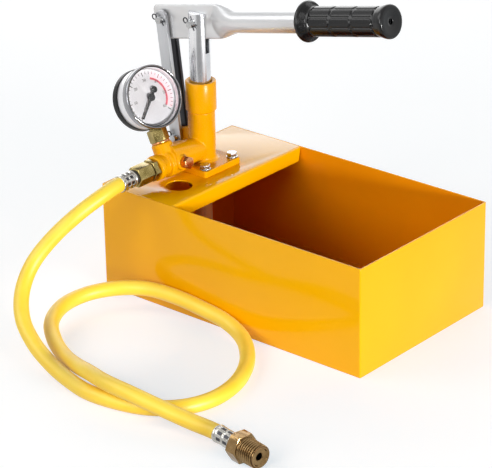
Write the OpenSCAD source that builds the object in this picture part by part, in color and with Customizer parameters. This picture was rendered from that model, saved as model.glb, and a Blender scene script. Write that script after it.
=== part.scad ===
// Hand-operated hydrostatic test pump: open sheet tank, ram pump worked by a lever and link,
// pressure gauge, release screw and discharge hose. Millimetres, +Z up.
// The origin is the middle of the tank's underside, and +X points along the tank to the handle.

/* [Tank] */
// Length of the tank, along X
tank_l = 280; // [250:1:320]
// Width of the tank, along Y
tank_w = 170; // [150:1:200]
// Height of the tank walls and of the deck's top face
tank_h = 97; // [88:1:115]
// Thickness of the sheet steel
sheet = 1.2; // [0.8:0.1:1.6]
// Length of the deck strip that carries the pump
deck_l = 81; // [74:1:95]
// Depth of the deck's folded front edge
fold_h = 12; // [8:0.5:16]
// Diameter of the return hole in the deck
return_hole_d = 23; // [16:0.5:26]
// Return hole to pump axis, along X
return_hole_dx = 15; // [8:0.5:20]
// Return hole to pump axis, along Y
return_hole_dy = 47.5; // [44:0.5:55]

/* [Pump body] */
// Tank end wall to pump axis
pump_inset = 40; // [36:0.5:44]
// Length of the base flange, along X
flange_l = 48; // [46:0.5:56]
// Width of the base flange, along Y
flange_w = 46; // [45:0.5:54]
// Thickness of the base flange
flange_t = 6; // [4:0.5:8]
// Corner radius of the base flange
flange_r = 2.5; // [1.5:0.5:8]
// Half of the bolt spacing along X
bolt_dx = 18.5; // [17.5:0.5:19]
// Half of the bolt spacing along Y
bolt_dy = 17.5; // [16.5:0.5:17.5]
// Outer diameter of the column
column_d = 23.6; // [23:0.1:25]
// Height of the column from the deck to the gland nut
column_h = 51; // [47:0.5:60]
// Diameter of the threaded spigot inside the gland nut
spigot_d = 22; // [21.4:0.1:22.6]
// Height of the spigot
spigot_h = 13; // [12.5:0.5:18]
// Bore of the column below the guide
barrel_d = 19.4; // [19:0.1:20]
// Length of the guide at the top of the column
guide_l = 12; // [8:0.5:14]
// Running clearance on a radius, for rods and pins
run_gap = 0.05; // [0.02:0.01:0.08]
// Assembly clearance on a radius, for threads and sockets
fit_gap = 0.05; // [0.02:0.01:0.1]

/* [Gland] */
// Outer diameter of the gland nut
gland_d = 26.5; // [26:0.1:30]
// Height of the packing stack
packing_h = 9.5; // [8:0.5:14]
// Thickness of the gland nut's lip
gland_lip = 4.5; // [3:0.5:7]
// Number of packing rings
packing_count = 3; // [2:1:4]

/* [Valve barrel] */
// Height of the outlet axis above the deck
outlet_rise = 16; // [15.5:0.5:20]
// Diameter of the neck beside the column
neck_d = 20.6; // [20.2:0.1:21.5]
// Diameter of the valve head
head_d = 24; // [22:0.5:26]
// Pump axis to the start of the valve head
head_from = 28; // [26:0.5:30]
// Pump axis to the end of the valve head
head_to = 50; // [49:0.5:54]
// Diameter of the raised neck where the gauge boss stands
saddle_d = 26; // [25:0.5:27]
// Upward lean of the raised neck
saddle_lean = 5; // [3:0.5:6]
// Diameter of the outlet boss
outlet_boss_d = 18.5; // [17:0.5:20]
// Length of the outlet boss with its collar
outlet_boss_l = 12; // [10:0.5:14]
// Diameter of the collar at the outlet
collar_d = 22; // [20.5:0.5:24]
// Length of the collar at the outlet
collar_l = 6; // [4:0.5:8]
// Diameter of the valve balls
ball_d = 8; // [7.5:0.1:8.5]
// Bore of the valve ball chambers
chamber_d = 10; // [9.6:0.1:10.4]
// Diameter of the water ways below the balls
port_d = 5; // [4:0.1:5.4]
// Gap between a ball and its seat
seat_gap = 0.3; // [0.2:0.05:0.4]

/* [Release screw] */
// Pump axis to the release screw
release_dy = 40; // [38:0.5:42]
// Lean of the release screw above the horizontal
release_lean = 10; // [0:1:15]
// Diameter of the release boss
release_boss_d = 13; // [11:0.5:14]
// Outlet axis to the face of the release boss
release_boss_h = 15; // [14:0.1:16]
// Diameter of the release screw
release_d = 7; // [6:0.1:8]
// Head of the release screw across flats
release_af = 9.5; // [9:0.1:11]
// Length of the release screw's head
release_head_l = 6; // [4:0.5:9]
// Diameter of the release ball
release_ball_d = 5; // [4.5:0.1:5.5]

/* [Link] */
// Pump axis to the link's foot pin, along X
foot_dx = 25; // [24:0.5:28]
// Height of the foot pin above the deck
foot_rise = 21; // [19:0.5:26]
// Thickness of the lug that carries the foot pin
lug_t = 6.5; // [5:0.1:6.8]
// Radius of the lug's end
lug_r = 7.5; // [6:0.1:9]
// Width of a link bar
bar_w = 12; // [11:0.5:14]
// Thickness of a link bar
bar_t = 3; // [2:0.1:4]
// Gap between the two link bars
bar_gap = 7.3; // [7:0.1:8]
// How far a bar runs past its top pin before its round end
bar_past = 2; // [0:0.5:3]
// Diameter of the pins
pin_d = 6; // [5:0.1:7]

/* [Plunger] */
// Diameter of the plunger rod
rod_d = 18; // [17:0.1:18.4]
// Height of the rod pin above the deck
rod_pin_rise = 131; // [125:0.5:140]
// Rod pin to the top of the rod
rod_above = 8.5; // [6:0.5:12]
// Rod pin to the bottom of the rod
rod_below = 97; // [93:0.5:99]
// Width of the fork's slot
fork_w = 4.8; // [4.6:0.1:6]
// Rod pin to the bottom of the fork's slot
fork_below = 27; // [24:0.5:30]

/* [Lever] */
// Lean of the lever at rest
lever_lean = 12; // [8:1:16]
// Outer diameter of the lever tube
tube_d = 20; // [18:0.5:22]
// Wall of the lever tube
tube_wall = 2; // [1.5:0.1:2.2]
// Height of the tube's flattened end
flat_h = 31; // [28:0.5:32]
// Rod pin to the back of the flattened end
flat_back = 49; // [47:0.5:54]
// Rod pin to the front of the flattened end
flat_front = 20; // [20:0.5:24]
// Rod pin to where the tube is round again
round_from = 47; // [40:1:60]
// Rod pin to the link's top pin, along the lever
link_back = 38; // [36:0.5:40]
// Link's top pin above the lever's middle line
link_up = 3; // [0:0.5:4]
// Run of the rod pin's slot in the lever
slot_run = 4.4; // [4.4:0.1:5]
// Play of the rod pin in its slot, on a radius
slot_play = 0.45; // [0.45:0.05:0.6]

/* [Grip] */
// Rod pin to the back of the grip
grip_from = 120; // [110:1:130]
// Rod pin to the end of the grip
grip_to = 209; // [195:1:220]
// Diameter of the grip's body
grip_d = 25; // [24.5:0.1:28]
// Diameter of the grip's guard ring
guard_d = 34.4; // [30:0.2:38]
// Diameter of the grip's flared end
flare_d = 28; // [26:0.2:30]
// Rows of pads around the grip
pad_rows = 9; // [7:1:11]
// Pads in each row
pad_count = 3; // [2:1:4]
// Width of the grooves between pads
pad_groove = 1.6; // [1:0.1:2]
// Depth of the grooves between pads
pad_depth = 0.8; // [0.4:0.1:1]

/* [Gauge] */
// Pump axis to the gauge stem
gauge_dy = 44; // [42:0.5:46]
// Lean of the gauge stem away from the handle
gauge_lean = 25; // [20:1:30]
// Turn of the gauge about its stem
gauge_turn = 11; // [0:1:15]
// Diameter of the gauge boss
gauge_boss_d = 18; // [16:0.5:19]
// Outlet axis to the face of the gauge boss
gauge_boss_h = 18; // [17.5:0.5:22]
// Hexagon of the gauge stem across flats
stem_af = 15; // [13:0.5:16]
// Length of the gauge stem's hexagon
stem_l = 11; // [8:0.5:14]
// Diameter of the gauge stem's thread
stem_d = 9.8; // [9:0.1:10.5]
// Thickness of the sealing washer
washer_t = 1.5; // [1:0.1:2]
// Outer diameter of the gauge case
case_d = 52; // [48:0.5:56]
// Depth of the chrome case
case_l = 16.5; // [14:0.5:18]
// Depth of the black back cover
back_l = 7; // [6:0.5:11]
// How much wider the bezel is than the case
bezel_over = 3; // [2:0.2:6]
// Wall of the case and the bezel lip
case_wall = 1.2; // [0.8:0.1:1.6]
// Depth of the bezel
bezel_l = 7; // [6.5:0.5:9]
// Thickness of the window
window_t = 2; // [1.5:0.1:2.5]
// Window's inner face to the dial's face
dial_deep = 5; // [4:0.5:6]
// Thickness of the dial
dial_t = 0.8; // [0.5:0.1:1.2]
// Length of the needle from its pivot
needle_l = 21; // [18:0.5:22]

/* [Outlet] */
// Lock nut across flats
nut_af = 17; // [15:0.5:19]
// Length of the lock nut
nut_l = 6.5; // [5:0.5:10]
// Adapter across flats
adapter_af = 16; // [15:0.5:18]
// Length of the adapter's hexagon
adapter_l = 17; // [15:0.5:24]
// Diameter of the adapter's thread
adapter_d = 13; // [11.5:0.1:14]
// Bore of the outlet adapter
adapter_bore = 5.6; // [4.6:0.1:6.2]
// Length of the seal ring behind the ferrule
ring_l = 2; // [1:0.1:3]

/* [Hose] */
// Outer diameter of the hose
hose_od = 13; // [12.6:0.1:13]
// Outer diameter of a ferrule
ferrule_d = 14.8; // [14.4:0.1:16]
// Length of the ferrule at the pump
ferrule_pump_l = 16.5; // [15:0.1:20]
// Length of the ferrule at the free end
ferrule_end_l = 23; // [18:0.5:26]
// Diameter of the tails inside the ferrules
tail_d = 8; // [7:0.1:9]
// End fitting across flats, which lies on the ground
end_af = 22; // [22:0.1:22]
// Length of the end fitting's hexagon
end_hex_l = 10.5; // [8:0.5:18]
// Outer diameter of the end fitting's thread
end_thread_d = 20; // [19:0.1:21.4]
// Length of the end fitting's thread
end_thread_l = 17; // [14:0.5:20]
// Bore of the end fitting
end_bore = 6; // [5:0.1:6.4]

/* [Suction] */
// Diameter of the suction tube
suction_d = 15; // [13:0.1:16]
// Wall of the suction tube
suction_wall = 1.5; // [1:0.1:2]
// Gap between the tank floor and the strainer
strainer_clear = 5; // [3:0.5:8]
// Suction valve hexagon across flats
valve_af = 22; // [21.5:0.5:24]
// Length of the suction valve below the deck
valve_l = 18; // [16:0.5:22]

/* [Hidden] */
$fn = 64;

// Paint and metal colours
tank_paint = [0.93, 0.66, 0.16];
cast_paint = [0.98, 0.72, 0.04];
chrome = [0.82, 0.83, 0.85];
zinc = [0.75, 0.76, 0.78];
brass = [0.72, 0.62, 0.36];
copper = [0.72, 0.42, 0.28];
black = [0.09, 0.09, 0.1];
hose_yellow = [1, 0.85, 0.2];

eps = 0.01;
cut = 1;

// Pump axis, deck and column levels
pump_x = -tank_l / 2 + pump_inset;
deck_z = tank_h;
under_deck = deck_z - sheet;
deck_x = -tank_l / 2 + sheet;
flange_z = deck_z + flange_t;
column_top = deck_z + column_h;
spigot_top = column_top + spigot_h;
packing_top = spigot_top + packing_h;
gland_top = packing_top + gland_lip;
outlet_z = deck_z + outlet_rise;
outlet_end = head_to + outlet_boss_l;
saddle_l = gauge_dy + 2;

// Bolts
bolt_d = 5;
bolt_hole_d = bolt_d + 0.5;
bolt_af = 8;
bolt_head_h = 3.5;
bolt_washer_d = 10;
bolt_washer_t = 1;
bolt_nut_h = 4;
bolt_tail = 3;

// Lever, plunger and link places, in the plane y = 0
rod_pin_z = deck_z + rod_pin_rise;
rod_low_z = rod_pin_z - rod_below;
flat_t = 2 * tube_wall;
link_top_x = pump_x - link_back * cos(lever_lean) - link_up * sin(lever_lean);
link_top_z = rod_pin_z - link_back * sin(lever_lean) + link_up * cos(lever_lean);
foot_x = pump_x - foot_dx;
foot_z = deck_z + foot_rise;
link_len = norm([link_top_x - foot_x, link_top_z - foot_z]);
link_lean = atan2(foot_x - link_top_x, link_top_z - foot_z);
bar_inner = bar_gap / 2;
bar_outer = bar_inner + bar_t;
pin_head_d = pin_d + 3;
pin_head_l = 2;
pin_tail = 4;
split_d = 1.6;
split_hole_d = split_d + 0.2;
split_turn = -63;

// Valve seats are 45 degree cones: from the seat's throat to the ball's centre
seat_to_ball = (ball_d / 2 + seat_gap) * sqrt(2) - port_d / 2;
seat_depth = (chamber_d - port_d) / 2;
ball_lift = 2;
suction_seat_z = deck_z + 1;
suction_ball_z = suction_seat_z + seat_to_ball;
stop_pin_d = 1.5;
stop_pin_z = suction_ball_z + ball_d / 2 + ball_lift + seat_gap + stop_pin_d / 2;
suction_top = stop_pin_z + 1.6;
discharge_seat = head_from - 2;
discharge_ball_at = discharge_seat + seat_to_ball;
adapter_in = head_to - 4;

// Gauge places, along the stem and along the face normal
gauge_hex_from = gauge_boss_h + washer_t;
gauge_hex_to = gauge_hex_from + stem_l;
gauge_rise = gauge_hex_to + case_d / 2 + 1;
case_from = -3.5;
case_to = case_from + case_l;
bezel_to = case_to + window_t + 1;
bezel_d = case_d + bezel_over;
window_d = case_d + 1;
dial_d = case_d - 2 * case_wall - 1;
dial_face = case_to - dial_deep;
back_from = case_from - back_l;
needle_t = 0.8;
needle_at = dial_face + 1.8;
spindle_d = 1.6;
zero_turn = 45;

// Outlet places, along the outlet axis
nut_to = outlet_end + nut_l;
adapter_hex_from = nut_to + 1;
adapter_hex_to = adapter_hex_from + adapter_l;
ring_to = adapter_hex_to + ring_l;
ferrule_pump_to = ring_to + ferrule_pump_l;

// Suction places
valve_low = under_deck - valve_l;
socket_l = 10;
suction_tube_top = valve_low + socket_l;
strainer_low = sheet + strainer_clear;
strainer_h = 18;
strainer_d = suction_d + 4;
suction_tube_low = strainer_low + strainer_h / 2;

// Hose route: centre points from the pump's ferrule, down to the ground in front of the tank,
// round one loop that leans on the tank, and over itself to the free end
front = -tank_w / 2;
laid = hose_od / 2;
hose_route = [
    [pump_x, -ferrule_pump_to, outlet_z], [pump_x - 0.5, front - 40, outlet_z - 3.4],
    [pump_x - 7.5, front - 61.5, outlet_z - 14], [pump_x - 18.5, front - 81.5, outlet_z - 31.4],
    [pump_x - 25.5, front - 100, outlet_z - 50.8], [pump_x - 21.5, front - 117.5, outlet_z - 68.8],
    [-107, front - 132.5, 29.2], [-84.5, front - 142.5, 17.4], [-59, front - 149.5, 9.8],
    [-33, front - 156, laid + 0.3], [-7.5, front - 161, laid], [19, front - 159, laid],
    [46, front - 151, laid], [67, front - 134.5, laid], [77.5, front - 110, laid],
    [76, front - 82, laid], [65.5, front - 55.5, laid], [49, front - 32.5, laid + 0.3],
    [28.5, front - 15.5, 9.2], [4, front - 8, 13.4], [-24, front - 7, 16.8],
    [-52.5, front - 8, 19.4], [-79.5, front - 13, 20.4], [-101.5, front - 27, 19.4],
    [-116, front - 49, 17.8], [-118, front - 75.5, 16.2], [-108, front - 99, 13],
    [-88, front - 116, 9.2], [-63.5, front - 129, 7.6], [-38.5, front - 140, 11.2],
    [-14, front - 151.5, 17.8], [12, front - 160, 21], [39, front - 161, 20.4],
    [66.5, front - 158, 16.4], [95, front - 154.5, 12.4], [123, front - 153.5, end_af / 2]
];
hose_end_turn = -10;
hose_sides = 12;
hose_last = len(hose_route) - 1;

// Least gap between two stretches of the hose, on points set close together along the route
hose_fine = 8;
hose_apart = 4 * hose_fine;
hose_points = [for (i = [0:hose_last - 1], k = [0:hose_fine - 1])
    hose_route[i] + (hose_route[i + 1] - hose_route[i]) * k / hose_fine];
hose_gap = min([for (i = [0:len(hose_points) - 1], k = [0:len(hose_points) - 1])
    if (k - i > hose_apart) norm(hose_points[k] - hose_points[i])]) - hose_od;
echo(hose_gap = hose_gap);

function unit(v) = v / norm(v);
function hose_way(i) =
    i == 0 ? [0, -1, 0]
    : i == hose_last ? [cos(hose_end_turn), sin(hose_end_turn), 0]
    : unit(hose_route[i + 1] - hose_route[i - 1]);
function hose_ring(i) =
    let (way = hose_way(i), side = unit(cross(way, [0, 0, 1])), rise = cross(side, way))
    [for (k = [0:hose_sides - 1])
        let (turn = 360 * k / hose_sides)
        hose_route[i] + hose_od / 2 * (cos(turn) * side + sin(turn) * rise)];

// Spring behind the discharge ball
spring_d = 6.6;
spring_wire = 0.8;
spring_turns = 5;
spring_from = discharge_ball_at
    + sqrt(pow((ball_d + spring_wire) / 2 + seat_gap, 2) - pow(spring_d / 2, 2));
spring_to = adapter_in - spring_wire / 2;
spring_steps = 10;
spring_sides = 6;
spring_last = spring_turns * spring_steps;

function spring_point(i) =
    let (turn = 360 * i / spring_steps)
    [spring_d / 2 * cos(turn), spring_d / 2 * sin(turn),
     spring_from + (spring_to - spring_from) * i / spring_last];
function spring_ring(i) =
    let (turn = 360 * i / spring_steps, out = [cos(turn), sin(turn), 0])
    [for (k = [0:spring_sides - 1])
        spring_point(i) + spring_wire / 2
            * (cos(360 * k / spring_sides) * out + sin(360 * k / spring_sides) * [0, 0, 1])];

// Closed tube through rings of points, each ring a list of the same length
module skin(rings) {
    count = len(rings);
    sides = len(rings[0]);
    walls = [for (i = [0:count - 2], k = [0:sides - 1], half = [0, 1])
        let (a = i * sides + k, b = i * sides + (k + 1) % sides)
        half == 0 ? [a, b, b + sides] : [a, b + sides, a + sides]];
    ends = [
        for (k = [1:sides - 2]) [0, k + 1, k],
        for (k = [1:sides - 2]) (count - 1) * sides * [1, 1, 1] + [0, k, k + 1]
    ];
    polyhedron([for (ring = rings) each ring], concat(walls, ends));
}

// Places: each puts its children's own axes where the piece sits
module at_pump(z = 0) translate([pump_x, 0, z]) children();
module on_outlet() translate([pump_x, 0, outlet_z]) rotate([90, 0, 0]) children();
module on_stem() translate([pump_x, -gauge_dy, outlet_z]) rotate([0, -gauge_lean, 0]) children();
module on_gauge()
    on_stem() translate([0, 0, gauge_rise]) rotate([0, 0, -gauge_turn]) rotate([0, 90, 0]) children();
module on_release()
    translate([pump_x, -release_dy, outlet_z]) rotate([0, 90 - release_lean, 0]) children();
module on_lever() translate([pump_x, 0, rod_pin_z]) rotate([0, -lever_lean, 0]) children();
module on_link() translate([foot_x, 0, foot_z]) rotate([0, -link_lean, 0]) children();
module on_hose_end()
    translate(hose_route[hose_last]) rotate([0, 0, hose_end_turn]) rotate([0, 90, 0]) children();
module at_bolts()
    for (sx = [-1, 1], sy = [-1, 1]) translate([pump_x + sx * bolt_dx, sy * bolt_dy, 0]) children();
// A round bar across the part, along Y, from y = from to y = to
module across(d, from, to) translate([0, to, 0]) rotate([90, 0, 0]) cylinder(d = d, h = to - from);

// Shared shapes
module ring(d_out, d_in, h)
    difference() {
        cylinder(d = d_out, h = h);
        translate([0, 0, -cut]) cylinder(d = d_in, h = h + 2 * cut);
    }

module hexagon(af, h, chamfer = 0.8)
    intersection() {
        cylinder(d = af / cos(30), h = h, $fn = 6);
        union() {
            cylinder(d1 = af, d2 = af + 4 * chamfer, h = chamfer);
            translate([0, 0, chamfer]) cylinder(d = af + 4 * chamfer, h = h - 2 * chamfer);
            translate([0, 0, h - chamfer]) cylinder(d1 = af + 4 * chamfer, d2 = af, h = chamfer);
        }
    }

module rounded_plate(l, w, h, r)
    linear_extrude(h) {
        square([l - 2 * r, w], center = true);
        square([l, w - 2 * r], center = true);
        for (sx = [-1, 1], sy = [-1, 1])
            translate([sx * (l / 2 - r), sy * (w / 2 - r)]) circle(r);
    }

// Pin with a head at its +Y end and a split pin's hole near its -Y end
module headed_pin(reach)
    rotate([0, split_turn, 0]) difference() {
        union() {
            across(pin_d, -reach - pin_tail, reach + eps);
            across(pin_head_d, reach, reach + pin_head_l);
        }
        translate([0, -reach - pin_tail / 2, -pin_d]) cylinder(d = split_hole_d, h = 2 * pin_d);
    }

// Split pin through a headed pin: an eye at one side, two spread legs at the other
module split_pin(reach)
    rotate([0, split_turn, 0]) translate([0, -reach - pin_tail / 2, 0]) {
        eye_r = split_d * 1.4;
        wire_d = split_d * 0.7;
        translate([0, 0, pin_d / 2 + eye_r + wire_d / 2]) rotate([90, 0, 0])
            rotate_extrude() translate([eye_r, 0]) circle(d = wire_d);
        translate([0, 0, -pin_d / 2]) cylinder(d = split_d, h = pin_d + wire_d / 2);
        for (side = [-1, 1])
            translate([0, 0, -pin_d / 2]) rotate([0, side * 35, 0])
                translate([0, 0, -pin_d * 0.6]) cylinder(d = wire_d, h = pin_d * 0.6);
    }

// Tank and deck
module tank_shell()
    color(tank_paint)
    difference() {
        translate([-tank_l / 2, -tank_w / 2, 0]) cube([tank_l, tank_w, tank_h]);
        translate([-tank_l / 2 + sheet, -tank_w / 2 + sheet, sheet])
            cube([tank_l - 2 * sheet, tank_w - 2 * sheet, tank_h]);
    }

module deck_plate() {
    inside_w = tank_w - 2 * sheet;
    color(tank_paint)
    difference() {
        translate([deck_x, -inside_w / 2, under_deck]) cube([deck_l - sheet, inside_w, sheet]);
        at_pump(under_deck - cut) cylinder(d = barrel_d + 1, h = sheet + 2 * cut);
        at_bolts() translate([0, 0, under_deck - cut]) cylinder(d = bolt_hole_d, h = sheet + 2 * cut);
        translate([pump_x + return_hole_dx, -return_hole_dy, under_deck - cut])
            cylinder(d = return_hole_d, h = sheet + 2 * cut);
    }
}

// Folded front edge of the deck, with mitred ends
module deck_fold() {
    half_w = tank_w / 2 - sheet;
    mitre = fold_h / 4;
    color(tank_paint)
    translate([deck_x + deck_l - 2 * sheet, 0, under_deck]) rotate([90, 0, 90]) linear_extrude(sheet)
        polygon([
            [-half_w, 0], [half_w, 0], [half_w - mitre, -fold_h], [mitre - half_w, -fold_h]
        ]);
}

// Pump casting: base flange, column, valve barrel with its bosses, and the link's lug
module pump_body() {
    root_r = 2.5;
    flare_l = 6;
    bevel = 1;
    color(cast_paint)
    difference() {
        union() {
            at_pump(deck_z) rounded_plate(flange_l, flange_w, flange_t, flange_r);
            at_pump(deck_z) cylinder(d = column_d, h = column_h);
            at_pump(flange_z) cylinder(d1 = column_d + 2 * root_r, d2 = column_d, h = root_r);
            at_pump(deck_z) cylinder(d = spigot_d, h = column_h + spigot_h);
            on_outlet() {
                cylinder(d = neck_d, h = head_from);
                translate([0, 0, head_from - flare_l]) cylinder(d1 = neck_d, d2 = head_d, h = flare_l);
                translate([0, 0, head_from]) cylinder(d = head_d, h = head_to - head_from - bevel);
                translate([0, 0, head_to - bevel])
                    cylinder(d1 = head_d, d2 = head_d - 2 * bevel, h = bevel);
                rotate([-saddle_lean, 0, 0]) cylinder(d1 = neck_d, d2 = saddle_d, h = saddle_l);
                cylinder(d = outlet_boss_d, h = outlet_end);
                translate([0, 0, outlet_end - collar_l]) {
                    cylinder(d1 = collar_d - 2 * bevel, d2 = collar_d, h = bevel);
                    translate([0, 0, bevel]) cylinder(d = collar_d, h = collar_l - 2 * bevel);
                    translate([0, 0, collar_l - bevel])
                        cylinder(d1 = collar_d, d2 = collar_d - 2 * bevel, h = bevel);
                }
            }
            on_stem() {
                cylinder(d = gauge_boss_d, h = gauge_boss_h - bevel);
                translate([0, 0, gauge_boss_h - bevel])
                    cylinder(d1 = gauge_boss_d, d2 = gauge_boss_d - 2 * bevel, h = bevel);
            }
            on_release() {
                cylinder(d = release_boss_d, h = release_boss_h - bevel);
                translate([0, 0, release_boss_h - bevel])
                    cylinder(d1 = release_boss_d, d2 = release_boss_d - 2 * bevel, h = bevel);
            }
            link_lug();
        }
        at_pump(deck_z - cut) cylinder(d = barrel_d, h = cut + column_h + spigot_h - guide_l);
        at_pump(deck_z) cylinder(d = rod_d + 2 * run_gap, h = column_h + spigot_h + cut);
        at_bolts() translate([0, 0, deck_z - cut]) cylinder(d = bolt_hole_d, h = flange_t + 2 * cut);
        on_outlet() {
            cylinder(d = port_d, h = head_to);
            translate([0, 0, discharge_seat]) cylinder(d1 = port_d, d2 = chamber_d, h = seat_depth);
            translate([0, 0, discharge_seat + seat_depth])
                cylinder(d = chamber_d, h = head_to - discharge_seat);
            translate([0, 0, adapter_in]) cylinder(d = adapter_d + 2 * fit_gap, h = outlet_end);
        }
        on_stem() {
            cylinder(d = port_d / 2, h = gauge_boss_h);
            translate([0, 0, gauge_boss_h - 9]) cylinder(d = stem_d + 2 * fit_gap, h = 10);
        }
        on_release() {
            cylinder(d = port_d / 2, h = release_boss_h);
            translate([0, 0, release_seat]) cylinder(d = release_d + 2 * run_gap, h = release_boss_h);
        }
        translate([foot_x, 0, foot_z]) across(pin_d + 2 * fit_gap, -lug_t, lug_t);
    }
}

// Release seat: outlet axis to the bottom of the screw's bore
release_seat = chamber_d / 2 + 1;
release_ball_at = release_seat + release_ball_d / 2 + seat_gap;
release_screw_from = release_ball_at + release_ball_d / 2 + seat_gap;
release_head_from = release_boss_h + 0.6;

module link_lug() {
    lug_base = flange_z - eps;
    translate([foot_x, 0, foot_z]) across(2 * lug_r, -lug_t / 2, lug_t / 2);
    translate([0, lug_t / 2, 0]) rotate([90, 0, 0]) linear_extrude(lug_t)
        polygon([
            [pump_x, lug_base], [foot_x - lug_r * 0.6, lug_base], [foot_x - lug_r, foot_z],
            [foot_x, foot_z + lug_r], [pump_x - column_d / 4, foot_z + lug_r + foot_dx / 4],
            [pump_x, foot_z + lug_r + foot_dx / 4]
        ]);
}

module gland_nut() {
    bevel = 1.2;
    color(cast_paint)
    difference() {
        at_pump(column_top) {
            cylinder(d1 = gland_d - 2 * bevel, d2 = gland_d, h = bevel);
            translate([0, 0, bevel]) cylinder(d = gland_d, h = gland_top - column_top - bevel);
        }
        at_pump(column_top - cut) cylinder(d = spigot_d + 2 * fit_gap, h = cut + packing_top - column_top);
        at_pump(column_top) cylinder(d = rod_d + 1, h = gland_top);
        at_pump(gland_top - bevel) cylinder(d1 = rod_d + 1, d2 = rod_d + 1 + 2 * bevel, h = bevel + eps);
    }
}

module packing_rings() {
    pitch = packing_h / packing_count;
    space = 0.1;
    color("darkkhaki")
    for (k = [0:packing_count - 1])
        at_pump(spigot_top + k * pitch + space)
            ring(spigot_d - 2 * fit_gap, rod_d + 2 * run_gap, pitch - space);
}

module flange_bolts() {
    shank = bolt_washer_t + flange_t + sheet + bolt_nut_h + bolt_tail;
    color(zinc)
    at_bolts() translate([0, 0, flange_z + bolt_washer_t]) {
        hexagon(bolt_af, bolt_head_h, 0.6);
        translate([0, 0, -shank]) cylinder(d = bolt_d, h = shank + eps);
    }
}

module flange_washers()
    color(zinc) at_bolts() translate([0, 0, flange_z]) ring(bolt_washer_d, bolt_hole_d, bolt_washer_t);

module flange_nuts()
    color(zinc)
    at_bolts() translate([0, 0, under_deck - bolt_nut_h])
        difference() {
            hexagon(bolt_af, bolt_nut_h, 0.6);
            translate([0, 0, -cut]) cylinder(d = bolt_d + 2 * fit_gap, h = bolt_nut_h + 2 * cut);
        }

// Suction side
module suction_valve()
    color(brass)
    difference() {
        union() {
            at_pump(valve_low) hexagon(valve_af, valve_l);
            at_pump(under_deck - socket_l / 2)
                cylinder(d = barrel_d - 2 * fit_gap, h = suction_top - under_deck + socket_l / 2);
        }
        at_pump(valve_low - cut) cylinder(d = suction_d + 2 * fit_gap, h = socket_l + cut);
        at_pump(valve_low) cylinder(d = port_d, h = suction_top);
        at_pump(suction_seat_z) cylinder(d1 = port_d, d2 = chamber_d, h = seat_depth);
        difference() {
            at_pump(suction_seat_z + seat_depth) cylinder(d = chamber_d, h = suction_top);
            translate([pump_x, 0, stop_pin_z]) across(stop_pin_d, -chamber_d, chamber_d);
        }
    }

module suction_ball() color(zinc) at_pump(suction_ball_z) sphere(d = ball_d);

module suction_tube()
    color("gainsboro")
    at_pump(suction_tube_low)
        ring(suction_d, suction_d - 2 * suction_wall, suction_tube_top - suction_tube_low);

module suction_strainer() {
    wall = 1;
    slots = 10;
    slot_w = 1.6;
    slot_h = strainer_h / 2;
    color(zinc)
    difference() {
        at_pump(strainer_low) cylinder(d = strainer_d, h = strainer_h);
        at_pump(strainer_low + wall) cylinder(d = strainer_d - 2 * wall, h = strainer_h - 5 * wall);
        at_pump(strainer_low + wall) cylinder(d = suction_d + 2 * fit_gap, h = strainer_h);
        for (k = [0:slots - 1])
            at_pump(strainer_low + 2 * wall) rotate([0, 0, 360 * k / slots])
                translate([suction_d / 2, -slot_w / 2, 0]) cube([strainer_d, slot_w, slot_h]);
    }
}

// Plunger
module plunger_rod() {
    bevel = 1;
    color(chrome)
    difference() {
        at_pump(rod_low_z) {
            cylinder(d1 = rod_d - 2 * bevel, d2 = rod_d, h = bevel);
            translate([0, 0, bevel]) cylinder(d = rod_d, h = rod_below + rod_above - bevel);
        }
        translate([pump_x - rod_d, -fork_w / 2, rod_pin_z - fork_below])
            cube([2 * rod_d, fork_w, fork_below + rod_above + cut]);
        translate([pump_x, 0, rod_pin_z]) across(pin_d + 2 * fit_gap, -rod_d, rod_d);
    }
}

module rod_pin()
    color(zinc) translate([pump_x, 0, rod_pin_z]) headed_pin(rod_d / 2 + 0.3);

module rod_split_pin()
    color(zinc) translate([pump_x, 0, rod_pin_z]) split_pin(rod_d / 2 + 0.3);

// Link: two flat bars between the lug and the lever
module link_bar(y) {
    color(chrome)
    on_link() difference() {
        translate([0, y + bar_t, 0]) rotate([90, 0, 0]) linear_extrude(bar_t) {
            translate([-bar_w / 2, 0]) square([bar_w, link_len + bar_past]);
            circle(d = bar_w);
            translate([0, link_len + bar_past]) circle(d = bar_w);
        }
        across(pin_d + 2 * run_gap, -2 * bar_outer, 2 * bar_outer);
        translate([0, 0, link_len]) across(pin_d + 2 * fit_gap, -2 * bar_outer, 2 * bar_outer);
    }
}

module link_bar_front() link_bar(-bar_outer);

module link_bar_rear() link_bar(bar_inner);

module link_top_pin()
    color(zinc) on_link() translate([0, 0, link_len]) headed_pin(bar_outer);

module link_top_split_pin()
    color(zinc) on_link() translate([0, 0, link_len]) split_pin(bar_outer);

module link_foot_pin() color(zinc) translate([foot_x, 0, foot_z]) headed_pin(bar_outer + 0.2);

module link_foot_split_pin()
    color(zinc) translate([foot_x, 0, foot_z]) split_pin(bar_outer + 0.2);

module link_spacers() {
    side_play = 0.2;
    spacer_t = bar_inner - flat_t / 2 - side_play;
    color(zinc)
    on_link() translate([0, 0, link_len])
        for (y = [-bar_inner, bar_inner - spacer_t])
            difference() {
                across(bar_w, y, y + spacer_t);
                across(pin_d + 2 * fit_gap, y - cut, y + spacer_t + cut);
            }
}

// Lever: a tube pressed flat at one end, drilled for the link and slotted for the rod
module flat_profile() {
    square([flat_t, flat_h - flat_t], center = true);
    for (side = [-1, 1]) translate([0, side * (flat_h - flat_t) / 2]) circle(d = flat_t);
}

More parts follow.
